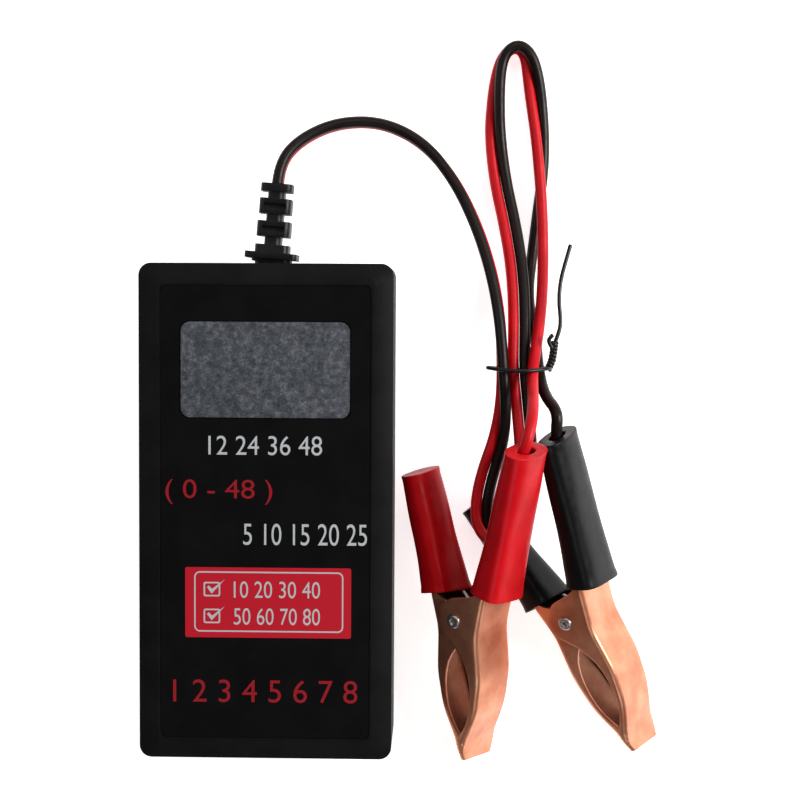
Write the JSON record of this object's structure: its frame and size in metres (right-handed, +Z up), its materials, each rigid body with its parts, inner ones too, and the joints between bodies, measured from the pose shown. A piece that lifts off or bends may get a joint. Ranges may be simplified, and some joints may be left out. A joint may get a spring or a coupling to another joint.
{
  "type": "battery tester",
  "caption": "Handheld battery tester: flat rectangular case with a display window, strain relief, folded twin lead with a tie, and two sprung battery clips.",
  "frame": {"origin": "middle of the case's flat back face", "axes": "X across the case, Y along it towards the strain relief, Z up out of the front face"},
  "size_m": [0.1296, 0.1811, 0.0404],
  "materials": {
    "case_plastic": "fine textured",
    "label": "satin printed label",
    "window": "clear, slightly hazed",
    "board": "solder mask",
    "display": "grey",
    "chip": "moulded",
    "capacitor": "sleeved can",
    "ceramic": "ceramic",
    "solder": "tinned",
    "screw_steel": "zinc plated",
    "relief_rubber": "matt",
    "red_wire": "glossy PVC",
    "black_wire": "glossy PVC",
    "tie": "coated wire",
    "copper": "copper plated steel",
    "red_sleeve": "soft PVC",
    "black_sleeve": "soft PVC",
    "rivet_steel": "nickel plated",
    "spring_steel": "spring steel"
  },
  "bodies": {
    "tester": {"back_shell": "case_plastic", "front_shell": "case_plastic", "front_label": "label", "display_window": "window", "circuit_board": "board", "display_module": "display", "control_chip": "chip", "voltage_regulator": "chip", "filter_capacitor": "capacitor", "load_resistors": "ceramic", "protection_diode": "chip", "solder_terminals": "solder", "board_screws": "screw_steel", "case_screws": "screw_steel", "strain_relief": "relief_rubber", "red_inner_wire": "red_wire", "black_inner_wire": "black_wire", "red_lead": "red_wire", "black_lead": "black_wire", "twist_tie": "tie", "red_clip_lead_half": "copper", "red_clip_lead_sleeve": "red_sleeve", "red_clip_rivet": "rivet_steel", "red_clip_spring": "spring_steel", "red_clip_crimp": "copper", "black_clip_lead_half": "copper", "black_clip_lead_sleeve": "black_sleeve", "black_clip_rivet": "rivet_steel", "black_clip_spring": "spring_steel", "black_clip_crimp": "copper"},
    "red_clip_jaw": {"red_clip_free_half": "copper", "red_clip_free_sleeve": "red_sleeve", "red_clip_spring_end": "spring_steel"},
    "black_clip_jaw": {"black_clip_free_half": "copper", "black_clip_free_sleeve": "black_sleeve", "black_clip_spring_end": "spring_steel"}
  },
  "joints": [
    {"name": "red_clip_hinge", "type": "hinge", "parent": "tester", "child": "red_clip_jaw", "pos_m": [0.0505, -0.0254, 0.0164], "axis": [0.6103, 0.1707, -0.7735], "range_deg": [0, 13], "stiffness_Nm_per_rad": 0.3, "springref_deg": -20.05},
    {"name": "black_clip_hinge", "type": "hinge", "parent": "tester", "child": "black_clip_jaw", "pos_m": [0.0776, -0.0256, 0.01095], "axis": [0.5233, 0.331, -0.7852], "range_deg": [0, 8], "stiffness_Nm_per_rad": 0.3, "springref_deg": -20.05}
  ]
}
